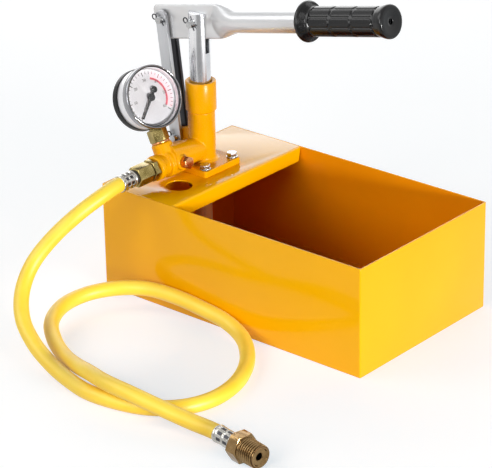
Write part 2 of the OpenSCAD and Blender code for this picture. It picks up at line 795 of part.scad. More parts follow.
// Side view of the flattened end, with its two back corners rounded
module flat_outline(corner) {
    translate([corner - flat_back, -flat_h / 2]) square([flat_back + flat_front - corner, flat_h]);
    translate([-flat_back, corner - flat_h / 2]) square([2 * corner, flat_h - 2 * corner]);
    for (side = [-1, 1])
        translate([corner - flat_back, side * (flat_h / 2 - corner)]) circle(corner);
}

module lever_tube() {
    slab = 0.5;
    color(chrome)
    on_lever() difference() {
        union() {
            intersection() {
                translate([-flat_back, 0, 0]) rotate([90, 0, 90])
                    linear_extrude(flat_back + flat_front) flat_profile();
                translate([0, flat_t, 0]) rotate([90, 0, 0]) linear_extrude(2 * flat_t) flat_outline(4);
            }
            hull($fn = 32) {
                translate([flat_front - slab, 0, 0]) rotate([90, 0, 90])
                    linear_extrude(slab) flat_profile();
                translate([round_from, 0, 0]) rotate([0, 90, 0]) cylinder(d = tube_d, h = slab);
            }
            translate([round_from, 0, 0]) rotate([0, 90, 0])
                cylinder(d = tube_d, h = grip_to - grip_end_wall - round_from);
        }
        translate([round_from + tube_d, 0, 0]) rotate([0, 90, 0])
            cylinder(d = tube_d - 2 * tube_wall, h = grip_to);
        translate([-link_back, 0, link_up]) across(pin_d + 2 * run_gap, -flat_t, flat_t);
        for (x = [0, slot_run]) translate([x, 0, 0]) across(pin_d + 2 * slot_play, -flat_t, flat_t);
        translate([0, -flat_t, -pin_d / 2 - slot_play]) cube([slot_run, 2 * flat_t, pin_d + 2 * slot_play]);
    }
}

// Rubber at the end of the grip, beyond the tube
grip_end_wall = 3;

module lever_grip() {
    guard_l = 5;
    neck_l = 5;
    flare_l = 9;
    lip = 2;
    vent_d = 5;
    grip_l = grip_to - grip_from;
    pads_from = grip_from + guard_l + neck_l;
    pads_to = grip_to - flare_l - lip;
    pitch = (pads_to - pads_from) / pad_count;
    color(black)
    on_lever() rotate([0, 90, 0]) difference() {
        translate([0, 0, grip_from]) rotate_extrude()
            polygon([
                [tube_d / 2 + fit_gap, 0], [guard_d / 2 - lip, 0], [guard_d / 2, lip],
                [guard_d / 2, guard_l - lip], [guard_d / 2 - lip, guard_l],
                [grip_d / 2, guard_l + neck_l / 2], [grip_d / 2, pads_to - grip_from],
                [flare_d / 2, grip_l - lip], [flare_d / 2 - lip, grip_l],
                [vent_d / 2, grip_l], [vent_d / 2, grip_l - grip_end_wall + fit_gap],
                [tube_d / 2 + fit_gap, grip_l - grip_end_wall + fit_gap]
            ]);
        for (k = [0:pad_count])
            translate([0, 0, pads_from + k * pitch - pad_groove / 2])
                ring(grip_d + 2 * pad_depth, grip_d - 2 * pad_depth, pad_groove);
        for (k = [0:pad_rows - 1])
            rotate([0, 0, 360 * k / pad_rows])
                translate([grip_d / 2 - pad_depth, -pad_groove / 2, pads_from])
                    cube([2 * pad_depth, pad_groove, pads_to - pads_from]);
    }
}

// Discharge valve
module discharge_ball() color(zinc) on_outlet() translate([0, 0, discharge_ball_at]) sphere(d = ball_d);

module discharge_spring()
    color(zinc) on_outlet() skin([for (i = [0:spring_last]) spring_ring(i)]);

// Release valve
module release_ball()
    color(zinc) on_release() translate([0, 0, release_ball_at]) sphere(d = release_ball_d);

module release_screw()
    color(copper)
    on_release() {
        translate([0, 0, release_screw_from])
            cylinder(d = release_d, h = release_head_from - release_screw_from + eps);
        translate([0, 0, release_head_from]) hexagon(release_af, release_head_l);
    }

// Gauge
module gauge_washer()
    color(copper) on_stem() translate([0, 0, gauge_boss_h]) ring(stem_af + 1, stem_d + 1, washer_t);

module gauge_socket() {
    neck_d = stem_af - 3;
    block = 9;
    color(brass)
    on_stem() difference() {
        union() {
            translate([0, 0, gauge_boss_h - 8]) cylinder(d = stem_d, h = 8 + washer_t + eps);
            translate([0, 0, gauge_hex_from]) rotate([0, 0, -gauge_turn]) hexagon(stem_af, stem_l);
            translate([0, 0, gauge_hex_to - eps]) cylinder(d = neck_d, h = 6);
            translate([0, 0, gauge_hex_to + 3]) rotate([0, 0, -gauge_turn])
                translate([0, -block / 2, 0]) cube([block / 2, block, bourdon_d / 4]);
        }
        translate([0, 0, gauge_boss_h - 8 - cut]) cylinder(d = port_d / 2, h = 8 + stem_l + washer_t + cut);
    }
}

// Curved tube inside the gauge
bourdon_d = 34;
bourdon_w = 5;
bourdon_t = 2.4;
bourdon_at = 3.2;

module gauge_case()
    color(chrome)
    difference() {
        on_gauge() {
            difference() {
                translate([0, 0, case_from]) cylinder(d = case_d, h = case_l);
                cylinder(d = case_d - 2 * case_wall, h = case_to + cut);
            }
        }
        on_stem() cylinder(d = stem_af - 3 + 2 * fit_gap, h = gauge_rise - bourdon_d / 2);
    }

module gauge_back_cover() {
    over = 1.2;
    lap = 1;
    bevel = 1.5;
    color(black)
    difference() {
        on_gauge() {
            difference() {
                union() {
                    translate([0, 0, back_from])
                        cylinder(d1 = case_d + over - 2 * bevel, d2 = case_d + over, h = bevel);
                    translate([0, 0, back_from + bevel])
                        cylinder(d = case_d + over, h = back_l + lap - bevel);
                }
                translate([0, 0, case_from]) cylinder(d = case_d + 2 * fit_gap, h = back_l);
                translate([0, 0, back_from + 2]) cylinder(d = case_d - 4, h = back_l);
            }
        }
        on_stem() cylinder(d = stem_af - 3 + 2 * fit_gap, h = gauge_rise - bourdon_d / 2);
    }
}

module gauge_bezel() {
    bevel = 0.8;
    lip = 0.6;
    low = bezel_to - bezel_l;
    outer = bezel_d / 2;
    pocket = window_d / 2 + fit_gap;
    sleeve = case_d / 2 + fit_gap;
    color(chrome)
    on_gauge() rotate_extrude()
        polygon([
            [sleeve, low], [outer, low], [outer, bezel_to - bevel], [outer - bevel, bezel_to],
            [pocket - lip, bezel_to], [pocket - lip, case_to + window_t], [pocket, case_to + window_t],
            [pocket, case_to], [sleeve, case_to]
        ]);
}

module gauge_window()
    color([0.85, 0.9, 0.92, 0.3])
    on_gauge() translate([0, 0, case_to]) cylinder(d = window_d, h = window_t);

module gauge_dial()
    color("white")
    on_gauge() translate([0, 0, dial_face - dial_t]) ring(dial_d, spindle_d + 2, dial_t);

module gauge_needle() {
    hub_d = 6.5;
    tail_l = 7.5;
    weight_d = 5.5;
    tip_w = 1.2;
    butt_w = 2.2;
    color(black)
    on_gauge() rotate([0, 0, -zero_turn]) {
        translate([0, 0, needle_at]) cylinder(d = hub_d, h = needle_t * 1.5);
        translate([0, 0, needle_at]) linear_extrude(needle_t) {
            polygon([
                [-tail_l, -butt_w / 2], [needle_l, -tip_w / 2],
                [needle_l, tip_w / 2], [-tail_l, butt_w / 2]
            ]);
            translate([-tail_l, 0]) circle(d = weight_d);
        }
        translate([0, 0, 1]) cylinder(d = spindle_d, h = needle_at - 1 + eps);
    }
}

module gauge_bourdon_tube() {
    sweep = 250;
    start = 17;
    color(brass)
    on_gauge() translate([0, 0, bourdon_at]) rotate([0, 0, start])
        rotate_extrude(angle = sweep)
            translate([bourdon_d / 2 - bourdon_t / 2, -bourdon_w / 2]) square([bourdon_t, bourdon_w]);
}

module gauge_movement() {
    plate_l = 18;
    plate_w = 10;
    plate_t = 1.6;
    post_d = 3;
    color(brass)
    on_gauge() difference() {
        union() {
            cylinder(d = 6, h = dial_face - dial_t - 1.5);
            translate([-plate_l / 2, -plate_w / 2, 1]) cube([plate_l, plate_w, plate_t]);
            for (side = [-1, 1])
                translate([side * (plate_l - post_d) / 2, 0, 0])
                    cylinder(d = post_d, h = dial_face - dial_t);
        }
        translate([0, 0, 1 - eps]) cylinder(d = spindle_d + 2 * run_gap, h = dial_face);
    }
}

// Outlet
module outlet_nut()
    color(brass)
    on_outlet() translate([0, 0, outlet_end]) difference() {
        hexagon(nut_af, nut_l);
        translate([0, 0, -cut]) cylinder(d = adapter_d + 2 * fit_gap, h = nut_l + 2 * cut);
    }

module outlet_adapter()
    color(brass)
    on_outlet() difference() {
        union() {
            translate([0, 0, adapter_in]) cylinder(d = adapter_d, h = adapter_hex_from - adapter_in + eps);
            translate([0, 0, adapter_hex_from]) hexagon(adapter_af, adapter_l, 1);
            translate([0, 0, adapter_hex_to - eps])
                cylinder(d = tail_d, h = ferrule_pump_to - adapter_hex_to - 0.5);
        }
        translate([0, 0, adapter_in - cut]) cylinder(d = adapter_bore, h = ferrule_pump_to);
    }

module hose_seal_ring()
    color(black)
    on_outlet() translate([0, 0, adapter_hex_to]) ring(adapter_af - 2, tail_d + 2 * fit_gap, ring_l);

// Crimped ferrule: a sleeve with pressed-in bands
module ferrule(l) {
    bands = 3;
    band_w = 2;
    band_deep = 0.7;
    pitch = l / (bands + 1);
    color(chrome)
    difference() {
        ring(ferrule_d, tail_d + 2 * fit_gap, l);
        for (k = [1:bands])
            translate([0, 0, k * pitch - band_w / 2])
                ring(ferrule_d + 2, ferrule_d - 2 * band_deep, band_w);
    }
}

module hose_ferrule_pump() on_outlet() translate([0, 0, ring_to]) ferrule(ferrule_pump_l);

module hose() color(hose_yellow) skin([for (i = [0:hose_last]) hose_ring(i)]);

module hose_ferrule_end() on_hose_end() ferrule(ferrule_end_l);

module hose_end_fitting()
    color(brass)
    on_hose_end() difference() {
        union() {
            translate([0, 0, 0.5]) cylinder(d = tail_d, h = ferrule_end_l);
            translate([0, 0, ferrule_end_l]) rotate([0, 0, 30]) hexagon(end_af, end_hex_l, 1);
            translate([0, 0, ferrule_end_l + end_hex_l - eps]) cylinder(d = end_thread_d, h = end_thread_l);
        }
        translate([0, 0, -cut])
            cylinder(d = end_bore, h = ferrule_end_l + end_hex_l + end_thread_l + 2 * cut);
    }

tank_shell();
deck_plate();
deck_fold();
pump_body();
gland_nut();
packing_rings();
flange_bolts();
flange_washers();
flange_nuts();
suction_valve();
suction_ball();
suction_tube();
suction_strainer();
plunger_rod();
rod_pin();
rod_split_pin();
link_bar_front();
link_bar_rear();
link_top_pin();
link_top_split_pin();
link_foot_pin();
link_foot_split_pin();
link_spacers();
lever_tube();
lever_grip();
discharge_ball();
discharge_spring();
release_ball();
release_screw();
gauge_washer();
gauge_socket();
gauge_case();
gauge_back_cover();
gauge_bezel();
gauge_window();
gauge_dial();
gauge_needle();
gauge_bourdon_tube();
gauge_movement();
outlet_nut();
outlet_adapter();
hose_seal_ring();
hose_ferrule_pump();
hose();
hose_ferrule_end();
hose_end_fitting();
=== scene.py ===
# Hand-operated hydrostatic test pump: its looks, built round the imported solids.
# Sizes are written in millimetres and turned into metres with MM.
import math

import bpy
from mathutils import Matrix, Vector


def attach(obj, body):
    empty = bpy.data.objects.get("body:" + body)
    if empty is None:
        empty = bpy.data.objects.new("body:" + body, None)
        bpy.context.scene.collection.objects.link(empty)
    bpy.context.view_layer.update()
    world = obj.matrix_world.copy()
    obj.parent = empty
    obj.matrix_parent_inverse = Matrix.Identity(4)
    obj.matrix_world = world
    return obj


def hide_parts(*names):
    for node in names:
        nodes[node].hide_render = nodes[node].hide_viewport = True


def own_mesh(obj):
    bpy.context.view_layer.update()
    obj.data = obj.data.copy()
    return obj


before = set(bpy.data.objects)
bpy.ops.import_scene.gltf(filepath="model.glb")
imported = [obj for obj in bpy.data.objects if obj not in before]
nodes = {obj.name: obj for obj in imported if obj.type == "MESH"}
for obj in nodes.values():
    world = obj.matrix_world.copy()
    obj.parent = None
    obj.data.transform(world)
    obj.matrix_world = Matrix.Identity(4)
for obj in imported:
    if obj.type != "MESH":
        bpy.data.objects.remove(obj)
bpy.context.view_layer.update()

MM = 0.001
scene = bpy.context.scene
scene.view_settings.view_transform = "Standard"

# Sizes shared with the solids: tank and deck
TANK_L, TANK_W, TANK_H = 280, 170, 97
SHEET = 1.2
DECK_L = 79.8
DECK_W = TANK_W - 2 * SHEET
DECK_BACK = SHEET - TANK_L / 2
FOLD_DROP = 13.2
FOLD_W = DECK_W - 6
RETURN_HOLE_R = 11.5

# Pump, with the lever's lengths counted from the rod's pin
PUMP_X = -100
RETURN_HOLE_AT = (PUMP_X + 15, -47.5, 0)
OUTLET_Z = 113
ROD_PIN_Z = 228
FIT = 0.05
PIN_R = 3
SLOT_RUN, SLOT_PLAY = 4.4, 0.45
LINK_BACK, LINK_UP = 38, 3
LEVER_LEAN = 12
TUBE_R = 10
TUBE_END = 206

# Gauge: its stem stands on the outlet's barrel
STEM_Y = -44
GAUGE_LEAN = 25
GAUGE_TURN = 11
GAUGE_RISE = 57.5

# Hose and its ends
PUMP_FERRULE_AT = 88.5
PUMP_FERRULE_L = 16.5
END_FERRULE_L = 23
END_HEX_L = 10.5
HOSE_D = 13
HOSE_END_TURN = -10
HOSE_ROUTE = [
    (-100, -105, 113), (-100.5, -125, 109.6), (-107.5, -146.5, 99), (-118.5, -166.5, 81.6),
    (-125.5, -185, 62.2), (-121.5, -202.5, 44.2), (-107, -217.5, 29.2), (-84.5, -227.5, 17.4),
    (-59, -234.5, 9.8), (-33, -241, 6.8), (-7.5, -246, 6.5), (19, -244, 6.5),
    (46, -236, 6.5), (67, -219.5, 6.5), (77.5, -195, 6.5), (76, -167, 6.5),
    (65.5, -140.5, 6.5), (49, -117.5, 6.8), (28.5, -100.5, 9.2), (4, -93, 13.4),
    (-24, -92, 16.8), (-52.5, -93, 19.4), (-79.5, -98, 20.4), (-101.5, -112, 19.4),
    (-116, -134, 17.8), (-118, -160.5, 16.2), (-108, -184, 13), (-88, -201, 9.2),
    (-63.5, -214, 7.6), (-38.5, -225, 11.2), (-14, -236.5, 17.8), (12, -245, 21),
    (39, -246, 20.4), (66.5, -243, 16.4), (95, -239.5, 12.4), (123, -238.5, 11),
]


def place(at, *turns):
    """Matrix of a place: a point in millimetres, then turns of (axis, degrees)."""
    matrix = Matrix.Translation(Vector(at) * MM)
    for axis, degrees in turns:
        matrix = matrix @ Matrix.Rotation(math.radians(degrees), 4, axis)
    return matrix


AT_PUMP = place((PUMP_X, 0, 0))
ON_OUTLET = place((PUMP_X, 0, OUTLET_Z), ("X", 90))
ON_STEM = place((PUMP_X, STEM_Y, OUTLET_Z), ("Y", -GAUGE_LEAN))
ON_GAUGE = ON_STEM @ place((0, 0, GAUGE_RISE), ("Z", -GAUGE_TURN), ("Y", 90))
ON_LEVER = place((PUMP_X, 0, ROD_PIN_Z), ("Y", -LEVER_LEAN), ("Y", 90))
ON_HOSE_END = place(HOSE_ROUTE[-1], ("Z", HOSE_END_TURN), ("Y", 90))


# Shader steps: each adds a node and gives its output socket

def put(tree, value, socket):
    """Feeds a socket, from another socket by a link or with a plain value."""
    if isinstance(value, bpy.types.NodeSocket):
        tree.links.new(value, socket)
    else:
        socket.default_value = value


def worked_out(tree, operation, first, second):
    node = tree.nodes.new("ShaderNodeMath")
    node.operation = operation
    put(tree, first, node.inputs[0])
    put(tree, second, node.inputs[1])
    return node.outputs[0]


def ranged(tree, value, before, after=(0, 1), steps="LINEAR"):
    """A value moved from one pair of limits to another."""
    node = tree.nodes.new("ShaderNodeMapRange")
    node.interpolation_type = steps
    limits = ("From Min", "From Max", "To Min", "To Max")
    for name, limit in zip(limits, (*before, *after)):
        node.inputs[name].default_value = limit
    put(tree, value, node.inputs["Value"])
    return node.outputs["Result"]


def mixed(tree, share, first, second, kind="RGBA"):
    """A colour or a value between two others."""
    node = tree.nodes.new("ShaderNodeMix")
    node.data_type = kind
    for name, value in (("Factor", share), ("A", first), ("B", second)):
        put(tree, value, node.inputs[name])
    return node.outputs["Result"]


def seen_directly(tree):
    """1 for rays that show the background itself: camera, mirror and glass rays that no dull
    surface has sent on."""
    rays = tree.nodes.new("ShaderNodeLightPath").outputs
    shown = worked_out(tree, "MAXIMUM", rays["Is Camera Ray"], rays["Is Glossy Ray"])
    shown = worked_out(tree, "MAXIMUM", shown, rays["Is Transmission Ray"])
    not_sent_on = worked_out(tree, "LESS_THAN", rays["Diffuse Depth"], 0.5)
    return worked_out(tree, "MULTIPLY", shown, not_sent_on)


# Camera, floor and light, with places and sizes in metres

CAMERA_AT = (1.2403, -1.4914, 0.9322)
CAMERA_TURN, CAMERA_TILT, CAMERA_ROLL = 40.907, 24.229, -1.069
CAMERA_LENS = 183.44
FLOOR_SIZE = 7
FLOOR_AT = (-2.055, 2.373, 0)
DIM_SIDE = (0.62, -0.72, -0.3)
DIM_EDGE, DIM_LEVEL = (0.72, 0.95), 0.42
WORLD_LIGHT, WORLD_SEEN = 0.09, 1.0
FLOOR_LIFT = 0.65
LAMP_AIM = (0, 0, 0.1)


def make_camera():
    turn, tilt, roll = (math.radians(x) for x in (CAMERA_TURN, CAMERA_TILT, CAMERA_ROLL))
    back = Vector((math.sin(turn) * math.cos(tilt), -math.cos(turn) * math.cos(tilt),
                   math.sin(tilt)))
    level = Vector((math.cos(turn), math.sin(turn), 0))
    upright = back.cross(level)
    side = level * math.cos(roll) + upright * math.sin(roll)
    up = upright * math.cos(roll) - level * math.sin(roll)
    data = bpy.data.cameras.new("camera")
    data.sensor_width = 36
    data.lens = CAMERA_LENS
    data.clip_end = 50
    camera = bpy.data.objects.new("camera", data)
    scene.collection.objects.link(camera)
    matrix = Matrix((side, up, back)).transposed().to_4x4()
    matrix.translation = Vector(CAMERA_AT)
    camera.matrix_world = matrix
    scene.camera = camera


def make_world():
    """White room with a dim side that only mirrors see."""
    world = bpy.data.worlds.new("studio")
    scene.world = world
    world.use_nodes = True
    tree = world.node_tree
    background = tree.nodes["Background"]
    where = tree.nodes.new("ShaderNodeTexCoord")
    facing = tree.nodes.new("ShaderNodeVectorMath")
    facing.operation = "DOT_PRODUCT"
    facing.inputs[1].default_value = DIM_SIDE
    tree.links.new(where.outputs["Generated"], facing.inputs[0])
    dim = ranged(tree, facing.outputs["Value"], DIM_EDGE, (1, DIM_LEVEL), "SMOOTHSTEP")
    camera_ray = tree.nodes.new("ShaderNodeLightPath").outputs["Is Camera Ray"]
    put(tree, worked_out(tree, "MAXIMUM", dim, camera_ray), background.inputs["Color"])
    strength = mixed(tree, seen_directly(tree), WORLD_LIGHT, WORLD_SEEN, "FLOAT")
    put(tree, strength, background.inputs["Strength"])


def make_floor():
    """White floor that shows the shadows: its own light makes up for its warm colour."""
    bpy.ops.object.select_all(action="DESELECT")
    bpy.ops.mesh.primitive_plane_add(size=FLOOR_SIZE, location=FLOOR_AT,
                                     rotation=(0, 0, math.radians(CAMERA_TURN)))
    floor = bpy.context.object
    floor.name = "floor"
    paper = bpy.data.materials.new("white_floor")
    paper.use_nodes = True
    tree = paper.node_tree
    shade = tree.nodes["Principled BSDF"]
    shade.inputs["Base Color"].default_value = (0.7, 0.56, 0.47, 1)
    shade.inputs["Roughness"].default_value = 0.9
    shade.inputs["Specular IOR Level"].default_value = 0.1
    shade.inputs["Emission Color"].default_value = (0.72, 0.89, 1, 1)
    lift = worked_out(tree, "MULTIPLY", seen_directly(tree), FLOOR_LIFT)
    put(tree, lift, shade.inputs["Emission Strength"])
    floor.data.materials.append(paper)


def softbox(name, at, size, power, aim=LAMP_AIM):
    data = bpy.data.lights.new(name, "AREA")
    data.shape = "RECTANGLE"
    data.size, data.size_y = size
    data.energy = power
    lamp = bpy.data.objects.new(name, data)
    scene.collection.objects.link(lamp)
    lamp.location = at
    lamp.rotation_euler = (Vector(aim) - Vector(at)).to_track_quat("-Z", "Y").to_euler()


make_camera()
make_world()
make_floor()
softbox("key_light", (-1.3, -1.3, 1.5), (1.4, 1.4), 16)
softbox("right_light", (1.95, -0.45, 0.26), (0.6, 0.16), 44)
softbox("back_light", (-1.15, 1.75, 0.95), (4.6, 1.9), 47, aim=(-0.05, 0, 0.1))
softbox("front_light", (0.1, -2.1, 0.9), (1.2, 0.8), 17)


# Finishes: one shared effect as a node group, then a function that makes each surface

def make_grain_group():
    """Noise on the piece's own coordinates: broad clouds, fine grain and small specks, each
    from 0 to 1."""
    group = bpy.data.node_groups.new("surface_grain", "ShaderNodeTree")
    sides = group.interface
    sides.new_socket(name="Vector", in_out="INPUT", socket_type="NodeSocketVector")
    for name, value in (("Broad Scale", 30.0), ("Fine Scale", 800.0), ("Speck Scale", 500.0)):
        scale = sides.new_socket(name=name, in_out="INPUT", socket_type="NodeSocketFloat")
        scale.default_value = value
    for name in ("Broad", "Fine", "Specks"):
        sides.new_socket(name=name, in_out="OUTPUT", socket_type="NodeSocketFloat")
    into = group.nodes.new("NodeGroupInput").outputs
    out = group.nodes.new("NodeGroupOutput").inputs
    for name, detail in (("Broad", 3), ("Fine", 2)):
        noise = group.nodes.new("ShaderNodeTexNoise")
        noise.inputs["Detail"].default_value = detail
        put(group, into["Vector"], noise.inputs["Vector"])
        put(group, into[name + " Scale"], noise.inputs["Scale"])
        put(group, ranged(group, noise.outputs["Fac"], (0.3, 0.7)), out[name])
    cells = group.nodes.new("ShaderNodeTexVoronoi")
    put(group, into["Vector"], cells.inputs["Vector"])
    put(group, into["Speck Scale"], cells.inputs["Scale"])
    put(group, ranged(group, cells.outputs["Distance"], (0.28, 0.12)), out["Specks"])
    return group


GRAIN = make_grain_group()


def srgb(red, green, blue):
    """Colour as a screen shows it, from 0 to 255, as the linear colour a shader takes."""
    linear = []
    for level in (red, green, blue):
        share = level / 255
        linear.append(share / 12.92 if share <= 0.04045 else ((share + 0.055) / 1.055) ** 2.4)
    return (*linear, 1)


def finish(name, deep, pale, rough, grain, metal=0.0, stretch=(1, 1, 1), turn=(0, 0, 0),
           height=(0, 0), specks=None, **fixed):
    """A surface: colour between deep and pale by broad clouds, roughness between two values by
    fine grain, height of clouds and grain in millimetres, and specks of (scale, tint, share)."""
    material = bpy.data.materials.new(name)
    material.use_nodes = True
    tree = material.node_tree
    shade = tree.nodes["Principled BSDF"]
    shade.inputs["Metallic"].default_value = metal
    for socket, value in fixed.items():
        shade.inputs[socket.replace("_", " ")].default_value = value
    where = tree.nodes.new("ShaderNodeTexCoord")
    mapping = tree.nodes.new("ShaderNodeMapping")
    mapping.inputs["Scale"].default_value = stretch
    mapping.inputs["Rotation"].default_value = [math.radians(x) for x in turn]
    put(tree, where.outputs["Object"], mapping.inputs["Vector"])
    noise = tree.nodes.new("ShaderNodeGroup")
    noise.node_tree = GRAIN
    put(tree, mapping.outputs["Vector"], noise.inputs["Vector"])
    for socket, value in zip(("Broad Scale", "Fine Scale"), grain):
        noise.inputs[socket].default_value = value
    colour = mixed(tree, noise.outputs["Broad"], deep, pale)
    if specks:
        scale, tint, share = specks
        noise.inputs["Speck Scale"].default_value = scale
        dots = worked_out(tree, "MULTIPLY", noise.outputs["Specks"], share)
        colour = mixed(tree, dots, colour, tint)
    put(tree, colour, shade.inputs["Base Color"])
    put(tree, ranged(tree, noise.outputs["Fine"], (0, 1), rough), shade.inputs["Roughness"])
    normal = None
    for output, rise in zip(("Broad", "Fine"), height):
        if rise:
            bump = tree.nodes.new("ShaderNodeBump")
            bump.inputs["Distance"].default_value = rise * MM
            put(tree, noise.outputs[output], bump.inputs["Height"])
            if normal:
                put(tree, normal, bump.inputs["Normal"])
            normal = bump.outputs["Normal"]
    if normal:
        put(tree, normal, shade.inputs["Normal"])
    return material


# Painted surfaces
tank_paint = finish("tank_enamel", srgb(241, 175, 0), srgb(246, 180, 2), (0.1, 0.15), (14, 700),
                    height=(0.05, 0.001), Specular_IOR_Level=0.23)
# Inside of the tank: the enamel made a deeper orange, as painted shade.
shaded_inner_paint = finish("inner_enamel_painted_shade", srgb(228, 136, 0), srgb(234, 142, 1), (0.16, 0.24),
                     (14, 700), height=(0.05, 0.001))
cast_paint = finish("casting_enamel", srgb(233, 161, 0), srgb(238, 167, 1), (0.2, 0.3),
                    (60, 900), height=(0.06, 0.01), Specular_IOR_Level=0.16)

# Steel and plating
chrome = finish("bright_chrome", srgb(205, 206, 209), srgb(220, 221, 223), (0.15, 0.22),
                (40, 1500), metal=1.0)
# The bezel's chrome is darkened to a dull grey: a painted dark reflection.
bezel_dark_reflection_chrome = finish("bezel_painted_dark_reflection_chrome", srgb(128, 128, 131), srgb(150, 150, 153),
                      (0.08, 0.16), (40, 1500), metal=1.0)
case_steel = finish("brushed_case_steel", srgb(214, 213, 215), srgb(226, 225, 227),
                    (0.36, 0.48), (60, 1200), metal=1.0, height=(0, 0.003))
drawn_steel = finish("polished_lever_steel", srgb(212, 213, 215), srgb(226, 227, 228),
                     (0.2, 0.27), (50, 900), metal=0.4, stretch=(0.12, 1, 1),
                     turn=(0, LEVER_LEAN, 0))
bar_steel = finish("satin_bar_steel", srgb(176, 177, 180), srgb(196, 197, 199), (0.34, 0.5),
                   (70, 900), metal=1.0, stretch=(1, 1, 0.15), height=(0, 0.004))
# Dark steel for the split pins, and painted shade on the link bars and in the ferrules' crimp
# hollows.
scale_and_shade_steel = finish("dark_scale_and_shade_steel", srgb(54, 54, 57), srgb(76, 76, 80), (0.36, 0.5),
                     (70, 900), metal=1.0, stretch=(1, 1, 0.15), height=(0, 0.004))
zinc = finish("zinc_plate", srgb(160, 161, 163), srgb(188, 188, 187), (0.14, 0.28),
              (220, 1800), metal=1.0, height=(0, 0.004))
ferrule_steel = finish("pressed_ferrule", srgb(160, 158, 152), srgb(206, 204, 198), (0.14, 0.3),
                       (180, 900), metal=1.0, height=(0.05, 0.01),
                       specks=(420, srgb(60, 56, 50), 0.8))

# Brass and copper
olive_brass = finish("olive_brass", srgb(134, 118, 68), srgb(170, 152, 98), (0.16, 0.3),
                     (160, 1400), metal=1.0, height=(0, 0.004))
gold_brass = finish("machined_brass", srgb(122, 96, 61), srgb(150, 123, 84), (0.12, 0.22),
                    (160, 1400), metal=1.0, height=(0, 0.004))
# Darker brass for the thread's grooves: painted shade.
groove_shade_brass = finish("groove_painted_shade_brass", srgb(62, 42, 26), srgb(84, 58, 36), (0.3, 0.45),
                      (160, 1400), metal=1.0)
copper = finish("copper", srgb(196, 130, 84), srgb(220, 158, 108), (0.16, 0.3), (200, 1400),
                metal=1.0, height=(0, 0.004))

# Rubber, plastic and packing
grip_rubber = finish("black_grip_rubber", srgb(4, 4, 5), srgb(8, 8, 9), (0.18, 0.25),
                     (60, 1600), height=(0, 0.008), Specular_IOR_Level=0.36)
seal_rubber = finish("black_seal_rubber", srgb(20, 20, 21), srgb(30, 30, 31), (0.45, 0.6),
                     (90, 1600), height=(0, 0.01))
black_plastic = finish("black_back_cover", srgb(10, 10, 11), srgb(16, 16, 17), (0.34, 0.44),
                       (50, 1500), height=(0, 0.006), Specular_IOR_Level=0.2)
hose_yellow = finish("yellow_hose", srgb(255, 213, 42), srgb(255, 222, 66), (0.42, 0.5),
                     (40, 1100), height=(0.08, 0.004), Specular_IOR_Level=0.75,
                     Sheen_Weight=0.12, Sheen_Roughness=0.5)
pipe_white = finish("white_pipe", srgb(248, 246, 242), srgb(254, 252, 249), (0.3, 0.42),
                    (40, 1000), height=(0, 0.004))
packing_cord = finish("greased_packing", srgb(150, 136, 92), srgb(178, 162, 116), (0.5, 0.7),
                      (200, 1200), height=(0, 0.05))

# Dial
dial_white = finish("white_dial", srgb(213, 210, 213), srgb(221, 218, 220), (0.35, 0.45),
                    (60, 1500))
ink_black = finish("dial_ink_black", srgb(46, 40, 36), srgb(62, 54, 48), (0.4, 0.5), (200, 1500))
ink_red = finish("dial_ink_red", srgb(196, 66, 84), srgb(206, 80, 96), (0.4, 0.5), (200, 1500))
ink_pink = finish("dial_ink_pink", srgb(250, 208, 214), srgb(252, 216, 222), (0.4, 0.5),
                  (200, 1500))
needle_black = finish("needle_black", srgb(8, 8, 9), srgb(14, 14, 15), (0.5, 0.6), (200, 1500),
                      Specular_IOR_Level=0.2)


def make_window_glass():
    """Clear window that lets light through to the dial."""
    glass = bpy.data.materials.new("clear_window")
    glass.use_nodes = True
    tree = glass.node_tree
    shade = tree.nodes["Principled BSDF"]
    shade.inputs["Transmission Weight"].default_value = 1
    shade.inputs["IOR"].default_value = 1.3
    shade.inputs["Base Color"].default_value = (0.97, 0.98, 0.98, 1)
    where = tree.nodes.new("ShaderNodeTexCoord")
    noise = tree.nodes.new("ShaderNodeGroup")
    noise.node_tree = GRAIN
    put(tree, where.outputs["Object"], noise.inputs["Vector"])
    gloss = ranged(tree, noise.outputs["Broad"], (0, 1), (0.0, 0.03))
    put(tree, gloss, shade.inputs["Roughness"])
    clear = tree.nodes.new("ShaderNodeBsdfTransparent")
    rays = tree.nodes.new("ShaderNodeLightPath").outputs
    passing = worked_out(tree, "MAXIMUM", rays["Is Shadow Ray"], rays["Is Diffuse Ray"])
    both = tree.nodes.new("ShaderNodeMixShader")
    for socket, value in zip(both.inputs, (passing, shade.outputs[0], clear.outputs[0])):
        put(tree, value, socket)
    put(tree, both.outputs[0], tree.nodes["Material Output"].inputs["Surface"])
    return glass


window_glass = make_window_glass()


# Modelling steps

DOUBLES = 0.012
SOLID_DOUBLES = 0.0005


def alone(piece=None):
    """Back to object mode, with only this piece selected."""
    if bpy.context.object and bpy.context.object.mode == "EDIT":
        bpy.ops.object.mode_set(mode="OBJECT")
    bpy.ops.object.select_all(action="DESELECT")
    if piece:
        piece.select_set(True)
        bpy.context.view_layer.objects.active = piece


def edit(piece):
    """Edit mode, with all of the piece selected."""
    alone(piece)
    bpy.ops.object.mode_set(mode="EDIT")
    bpy.ops.mesh.select_mode(type="VERT")
    bpy.ops.mesh.select_all(action="SELECT")


def pick(piece, kind, test):
    """Edit mode, with only those faces or edges selected whose corners pass the test."""
    edit(piece)
    bpy.ops.mesh.select_mode(type=kind)
    bpy.ops.mesh.select_all(action="DESELECT")
    bpy.ops.object.mode_set(mode="OBJECT")
    points = piece.data.vertices
    for part in piece.data.polygons if kind == "FACE" else piece.data.edges:
        part.select = test([points[i].co / MM for i in part.vertices])
    bpy.ops.object.mode_set(mode="EDIT")


def named(name):
    piece = bpy.context.object
    piece.name = piece.data.name = name
    return piece


